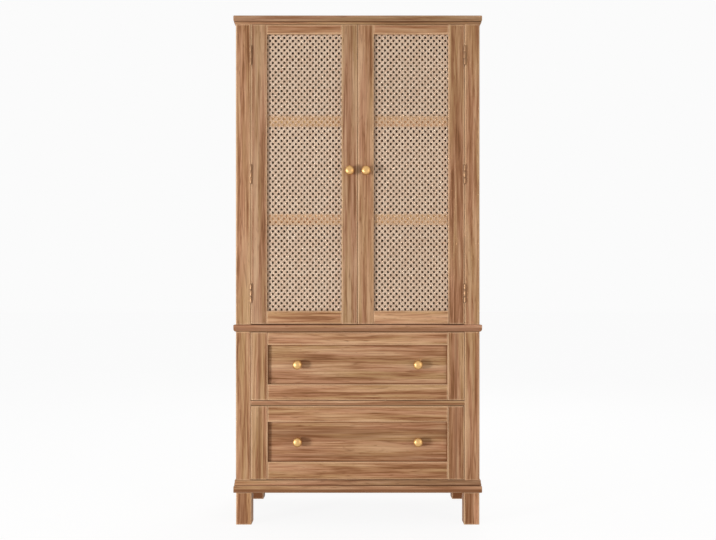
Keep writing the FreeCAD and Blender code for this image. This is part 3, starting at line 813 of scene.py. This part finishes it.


# Operators

# How each wooden node's grain runs, its share of the wood's red, green and blue, how pale its
# edges are, from thinned stain and painted highlight, which is little where they are moulded or
# sheltered, and its stain marks and painted shades
BOARDS = {
    "top_board": ("X", (0.90, 0.93, 0.97), 0.2, partial(painted_lower_shade, most=0.3)),
    "cornice_frame": ("XY", (0.97, 0.95, 0.93), 0.15, painted_quirk_shade),
    "waist_board": ("X", (1.0, 0.90, 0.95), 0.15, partial(painted_lower_shade, most=0.6)),
    "base_board": ("X", (1.05, 1.01, 0.98), 0.3, partial(painted_lower_shade, most=0.85)),
    "base_frame": ("XY", (1.10, 1.03, 1.04), 0.15, painted_quirk_shade),
    "drawer_divider_rail": ("X", (1.15, 1.16, 1.2), 0.3, partial(painted_lower_shade, most=0.6)),
    "lower_shelf": ("X", (1.12, 1.06, 1.0), 1.0),
    "upper_shelf": ("X", (1.12, 1.06, 1.0), 1.0),
    "shelf_bearers": ("Y", (0.95, 0.95, 0.95), 1.0),
    "upper_posts": ("Z", (1.0, 0.98, 0.96), 1.0),
    "lower_posts": ("Z", (1.0, 0.97, 0.94), 1.0),
    "upper_side_panels": ("Z", (1.0, 0.98, 0.96), 1.0),
    "lower_side_panels": ("Z", (1.0, 0.98, 0.96), 1.0),
    "legs": ("Z", (1.22, 1.18, 1.18), 1.0, leg_heart_and_shade),
    "left_door_stiles": ("Z", (0.91, 0.91, 0.93), 1.0),
    "left_door_rails": ("X", (1.22, 1.23, 1.25), 1.0, darker_upper_rail),
    "left_door_cane_beads": ("XZ", (1.0, 1.0, 1.0), 1.0),
    "left_door_cane_bars": ("X", (1.2, 1.2, 1.1), 1.0),
    "right_door_stiles": ("Z", (0.99, 0.97, 0.98), 1.0),
    "right_door_rails": ("X", (1.2, 1.2, 1.2), 1.0, darker_upper_rail),
    "right_door_cane_beads": ("XZ", (1.0, 1.0, 1.0), 1.0),
    "right_door_cane_bars": ("X", (1.2, 1.2, 1.1), 1.0),
    "upper_drawer_front_stiles": ("Z", (0.98, 0.95, 0.93), 1.0, heart_streak),
    "upper_drawer_front_rails": ("X", (1.08, 1.06, 1.04), 1.0),
    "upper_drawer_front_panel": ("X", (1.02, 1.01, 1.0), 1.0, painted_corner_shade),
    "lower_drawer_front_stiles": ("Z", (0.97, 0.94, 0.92), 1.0, heart_streak),
    "lower_drawer_front_rails": ("X", (1.05, 1.02, 0.98), 1.0),
    "lower_drawer_front_panel": ("X", (0.98, 0.93, 0.90), 1.0, painted_corner_shade, heart_bands),
}

# How the plywood nodes' face grain runs, and which way their plies are stacked
PLYWOOD = {
    "upper_back_panel": ("Z", "Y"), "lower_back_panel": ("X", "Y"), "slide_packers": ("Y", "X"),
    **{drawer + part: ways for drawer in DRAWERS
       for part, ways in (("_box_sides", ("Y", "X")), ("_box_ends", ("X", "Y")),
                          ("_box_bottom", ("X", "Z")))},
}

# Radius and distance from the wood of a knob, in millimetres: foot, neck, head and crown
KNOB = ((0, 0), (8.6, 0), (8.8, 0.4), (8.6, 1.2), (7.4, 1.9), (6.4, 3.0), (6.0, 5.0), (6.2, 7.4),
        (7.2, 9.4), (9.4, 11.0), (12.2, 12.0), (14.0, 13.0), (14.8, 14.4), (15.0, 16.4),
        (15.0, 19.6), (14.8, 21.6), (14.1, 23.6), (12.8, 25.6), (10.8, 27.4), (8.2, 28.8),
        (5.2, 29.6), (2.4, 29.95), (0, 30.0))
KNOB_SIDES = 56

# Where screws sit along a hinge leaf, from its middle, and along a slide or a shelf bearer, from
# its front, as shares of their lengths
HINGE_HOLES = (-0.34, 0.0, 0.34)
SLIDE_HOLES = (0.08, 0.36, 0.64, 0.92)
BEARER_HOLES = (0.1, 0.5, 0.9)

# How many screws a back panel has across and up
BACK_SCREWS = {"upper_back_panel": (6, 7), "lower_back_panel": (6, 4)}


def knob_places(node, depth, way):
    """The places of a door's one knob or a drawer's two, at this depth and facing along Y."""
    low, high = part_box(node)
    radius = (high.z - low.z) / 2
    xs = (low.x + radius, high.x - radius) if node.endswith("s") else ((low.x + high.x) / 2,)
    return [((x, depth, (low.z + high.z) / 2), (0, way, 0)) for x in xs]


def drive(name, head, places, body, material):
    """Screws with the same head at several places of a body."""
    new_piece(name, copies(head, places), body, material, smooth=False)


class CABINET_OT_finish_boards(bpy.types.Operator):
    """Oil every board of solid wood and ease its edges"""
    bl_idname = "cabinet.finish_boards"
    bl_label = "Finish the boards"

    def execute(self, context):
        sizes, colours = context.scene.cabinet_sizes, context.scene.cabinet_colours
        made = {}
        for index, (node, (grain, tone, wear, *stains_and_shades)) in enumerate(BOARDS.items()):
            look = node if stains_and_shades or len(grain) == 2 else grain.lower()
            if look not in made:
                made[look] = oiled_wood("oiled_mango_wood_" + look, colours, sizes, node, grain,
                                        stains_and_shades)
            board = dress(node, made[look])
            board["grain_shift"] = list(index * BOARD_STEP)
            board["tone"] = tone
            board["wear"] = wear
            ease_edges(board, sizes.edge_ease)
        return {"FINISHED"}


class CABINET_OT_finish_plywood(bpy.types.Operator):
    """Finish the plywood backs, drawer boxes and slide packers"""
    bl_idname = "cabinet.finish_plywood"
    bl_label = "Finish the plywood"

    def execute(self, context):
        made = {}
        for node, ways in PLYWOOD.items():
            if ways not in made:
                made[ways] = plywood("birch_plywood_" + "".join(ways).lower(),
                                     context.scene.cabinet_colours, *ways)
            ease_edges(dress(node, made[ways]), context.scene.cabinet_sizes.edge_ease / 2)
        return {"FINISHED"}


class CABINET_OT_weave_cane(bpy.types.Operator):
    """Weave the cane sheets of both doors"""
    bl_idname = "cabinet.weave_cane"
    bl_label = "Weave the cane"

    def execute(self, context):
        material = natural_cane("natural_cane", context.scene.cabinet_colours)
        for seed, door in enumerate(DOORS):
            low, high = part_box(door + "_cane")
            middle, half = (low + high) / 2, (high - low) / 2
            weave = cane_sheet(half.x, half.z, context.scene.cabinet_sizes, seed)
            verts = [(x + middle.x, y + middle.y, z + middle.z) for x, y, z in weave.verts]
            sheet = new_piece(door + "_cane_weave", (verts, weave.faces), door, material)
            strand = sheet.data.attributes.new("strand", "FLOAT_VECTOR", "POINT")
            strand.data.foreach_set("vector", np.array(weave.marks, np.float32).ravel())
            low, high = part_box(door + "_cane_bars")
            edge = CANE_BAR_HEIGHT / 2
            levels = np.array([v[2] for v in verts])
            away = np.minimum(abs(levels - low.z - edge), abs(levels - high.z + edge))
            over = np.clip((edge - away) / RUB_FADE + 0.5, 0, 1)
            sheet.data.attributes.new("over_bar", "FLOAT", "POINT").data.foreach_set(
                "value", over.astype(np.float32))
            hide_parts(door + "_cane")
        return {"FINISHED"}


class CABINET_OT_turn_knobs(bpy.types.Operator):
    """Turn the round brass knobs of the doors and drawers"""
    bl_idname = "cabinet.turn_knobs"
    bl_label = "Turn the knobs"

    def execute(self, context):
        brass = brushed_brass("satin_brass", context.scene.cabinet_colours.brass, smooth=0.35,
                              rough=0.52)
        knob = turned([(radius * MM, out * MM) for radius, out in KNOB], KNOB_SIDES)
        for body in (*DOORS, *DRAWERS):
            node = body + ("_knob" if body in DOORS else "_knobs")
            places = knob_places(node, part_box(node)[1].y, -1)
            piece = new_piece(node + "_turned", copies(knob, places), body, brass)
            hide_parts(node)
        return {"FINISHED"}


class CABINET_OT_fit_hinges(bpy.types.Operator):
    """Fit the butt hinges, with rolled knuckles, let-in leaves and flush screws"""
    bl_idname = "cabinet.fit_hinges"
    bl_label = "Fit the hinges"

    def execute(self, context):
        sizes = context.scene.cabinet_sizes
        aged = brushed_brass("aged_brass", context.scene.cabinet_colours.aged_brass, smooth=0.36,
                             rough=0.52)
        low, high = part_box("case_hinge_leaves")
        half = sizes.hinge_height / 2
        levels = (low.z + half, (low.z + high.z) / 2, high.z - half)
        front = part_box("upper_posts")[0].y
        # The screws sit just behind the middle of a leaf, clear of its knuckles.
        screw_depth = (front + high.y) / 2 + 1.5 * MM
        pins = {joint["name"]: joint["pos_m"] for joint in frame["record"]["behaviour"]["joints"]
                if joint["type"] == "hinge"}
        head = screw_head(sizes.hinge_screw, height=0.2 * MM, dome=0.4)
        case_leaves, case_screws = [], []
        for door, side in DOORS.items():
            door_low, door_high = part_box(door + "_hinge_leaves")
            inner, outer = (door_high.x, low.x) if side < 0 else (door_low.x, high.x)
            door_leaves, door_screws = [], []
            for back, way, knuckles, leaves, screws in (
                    (inner, side, (1,), door_leaves, door_screws),
                    (outer, -side, (0, 2), case_leaves, case_screws)):
                face = back + way * sizes.hinge_metal
                for level in levels:
                    leaves.append(hinge_leaf(back, face, pins[door + "_hinge"], front, high.y,
                                             level - half, knuckles, sizes))
                    screws += [((face, screw_depth, level + share * sizes.hinge_height),
                                (way, 0, 0)) for share in HINGE_HOLES]
            piece = new_piece(door + "_hinges", together(door_leaves), door, aged)
            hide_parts(door + "_hinge_leaves")
            drive(door + "_hinge_screws", head, door_screws, door, aged)
        piece = new_piece("case_hinges", together(case_leaves), "cabinet", aged)
        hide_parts("case_hinge_leaves")
        drive("case_hinge_screws", head, case_screws, "cabinet", aged)
        return {"FINISHED"}


class CABINET_OT_finish_metal(bpy.types.Operator):
    """Finish the strike plates, slides and catches"""
    bl_idname = "cabinet.finish_metal"
    bl_label = "Finish the metalwork"

    def execute(self, context):
        colours = context.scene.cabinet_colours
        steel = zinc_steel("zinc_plated_steel", colours)
        plastic = moulded_plastic("moulded_abs", colours)
        nodes = ["case_slides", *(door + "_strike_plate" for door in DOORS)]
        nodes += [drawer + part for drawer in DRAWERS for part in ("_slides", "_carriages")]
        for node in nodes:
            ease_edges(dress(node, steel), width=0.15 * MM)
        ease_edges(dress("door_catches", plastic), width=0.5 * MM)
        return {"FINISHED"}


class CABINET_OT_drive_screws(bpy.types.Operator):
    """Drive the screws of the slides, shelf bearers, knobs and back panels"""
    bl_idname = "cabinet.drive_screws"
    bl_label = "Drive the screws"

    def execute(self, context):
        sizes = context.scene.cabinet_sizes
        steel = bpy.data.materials["zinc_plated_steel"]
        pan = screw_head(sizes.slide_screw, height=1.8 * MM, dome=0.55)
        knob = screw_head(sizes.knob_screw, height=2.2 * MM, dome=0.55)
        flat = screw_head(sizes.slide_screw, height=0.15 * MM, dome=0.4)
        for door in DOORS:
            places = knob_places(door + "_knob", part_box(door + "_stiles")[1].y, 1)
            drive(door + "_knob_screw", knob, places, door, steel)
        for drawer in DRAWERS:
            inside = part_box(drawer + "_box_ends")[0].y + BOX_WALL
            places = knob_places(drawer + "_knobs", inside, 1)
            drive(drawer + "_knob_screws", knob, places, drawer, steel)
            low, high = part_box(drawer + "_slides")
            left, right = (corner.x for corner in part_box(drawer + "_box_sides"))
            places = [((x, low.y + share * (high.y - low.y), (low.z + high.z) / 2), (side, 0, 0))
                      for side, x in ((-1, left - SLIDE_METAL), (1, right + SLIDE_METAL))
                      for share in SLIDE_HOLES]
            drive(drawer + "_slide_screws", pan, places, drawer, steel)
        low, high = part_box("shelf_bearers")
        places = [((side * (high.x - BEARER_THICKNESS), low.y + share * (high.y - low.y),
                    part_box(shelf)[0].z - BEARER_HEIGHT / 2), (-side, 0, 0))
                  for shelf in ("lower_shelf", "upper_shelf")
                  for side in (-1, 1) for share in BEARER_HOLES]
        drive("shelf_bearer_screws", pan, places, "cabinet", steel)
        places = []
        for panel, counts in BACK_SCREWS.items():
            low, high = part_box(panel)
            xs, zs = (np.linspace(low[i] + sizes.back_inset, high[i] - sizes.back_inset, count)
                      for i, count in zip((0, 2), counts))
            places += [((x, high.y, z), (0, 1, 0)) for z in zs for x in xs
                       if x in (xs[0], xs[-1]) or z in (zs[0], zs[-1])]
        drive("back_panel_screws", flat, places, "cabinet", steel)
        return {"FINISHED"}


class CABINET_OT_set_stage(bpy.types.Operator):
    """Set up the floor, the light and the camera"""
    bl_idname = "cabinet.set_stage"
    bl_label = "Set the stage"

    def execute(self, context):
        scene = context.scene
        stage = scene.cabinet_stage
        scene.view_settings.view_transform = "Standard"
        scene.world = bpy.data.worlds.new("pale_room")
        add = new_nodes(scene.world)
        level = add("MapRange", (seen_directly(add), 0.0, 1.0, stage.room_light, stage.backdrop))
        room = add("Background", {"Color": (1, 1, 1), "Strength": level})
        add("OutputWorld", (room,))

        mesh = bpy.data.meshes.new("floor")
        mesh.from_pydata([(x * FLOOR_REACH, y * FLOOR_REACH, 0)
                          for x, y in ((-1, -1), (1, -1), (1, 1), (-1, 1))], [], [(0, 1, 2, 3)])
        mesh.materials.append(floor_paint("pale_floor_paint"))
        floor = bpy.data.objects.new("floor", mesh)
        scene.collection.objects.link(floor)

        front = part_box("upper_posts")[0].y
        aim = Vector((0, front, LIT_HEIGHT))
        for name, place, size, power, tint in (
                ("key_softbox", (-3.3, -2.7, 0.35), 1.1, stage.key_light, "#FFFFFF"),
                ("fill_softbox", (2.6, -2.6, 1.0), 1.6, stage.fill_light, "#FFEBD6"),
                ("back_softbox", (0.7, 2.4, 3.0), 1.8, stage.back_light, "#FFFFFF")):
            lamp = bpy.data.lights.new(name, "AREA")
            lamp.shape = "RECTANGLE"
            lamp.size, lamp.size_y = SOFTBOX_SHAPE * size, size
            lamp.energy = power
            lamp.color = linear(tint)
            light = bpy.data.objects.new(name, lamp)
            light.location = place
            light.rotation_euler = (aim - Vector(place)).to_track_quat("-Z", "Y").to_euler()
            scene.collection.objects.link(light)

        lens = bpy.data.cameras.new("camera")
        lens.sensor_width = SENSOR_WIDTH
        lens.lens = stage.lens
        lens.shift_y = stage.horizon_drop / PHOTO_WIDTH
        camera = bpy.data.objects.new("camera", lens)
        camera.location = (stage.camera_side, front - stage.camera_distance, stage.camera_height)
        camera.rotation_euler = (math.radians(90), 0, 0)
        scene.collection.objects.link(camera)
        scene.camera = camera
        return {"FINISHED"}


GROUPS = {"cabinet_sizes": CabinetSizes, "cabinet_colours": CabinetColours,
          "cabinet_stage": CabinetStage}
STEPS = (CABINET_OT_finish_boards, CABINET_OT_finish_plywood, CABINET_OT_weave_cane,
         CABINET_OT_turn_knobs, CABINET_OT_fit_hinges, CABINET_OT_finish_metal,
         CABINET_OT_drive_screws, CABINET_OT_set_stage)


class CABINET_PT_panel(bpy.types.Panel):
    """Lists the cabinet's steps, sizes and colours in the sidebar"""
    bl_label = "Caned cabinet"
    bl_idname = "CABINET_PT_panel"
    bl_space_type = "VIEW_3D"
    bl_region_type = "UI"
    bl_category = "Cabinet"

    def draw(self, context):
        for step in STEPS:
            self.layout.operator(step.bl_idname)
        for group in GROUPS:
            values = getattr(context.scene, group)
            box = self.layout.box()
            for name in values.__annotations__:
                box.prop(values, name)


def register():
    for group in (*GROUPS.values(), *STEPS, CABINET_PT_panel):
        bpy.utils.register_class(group)
    for name, group in GROUPS.items():
        setattr(bpy.types.Scene, name, bpy.props.PointerProperty(type=group))


def unregister():
    for name in GROUPS:
        delattr(bpy.types.Scene, name)
    for group in (CABINET_PT_panel, *reversed(STEPS), *GROUPS.values()):
        bpy.utils.unregister_class(group)


def main():
    register()
    bpy.ops.cabinet.finish_boards()
    bpy.ops.cabinet.finish_plywood()
    bpy.ops.cabinet.weave_cane()
    bpy.ops.cabinet.turn_knobs()
    bpy.ops.cabinet.fit_hinges()
    bpy.ops.cabinet.finish_metal()
    bpy.ops.cabinet.drive_screws()
    bpy.ops.cabinet.set_stage()


if __name__ == "__main__":
    main()
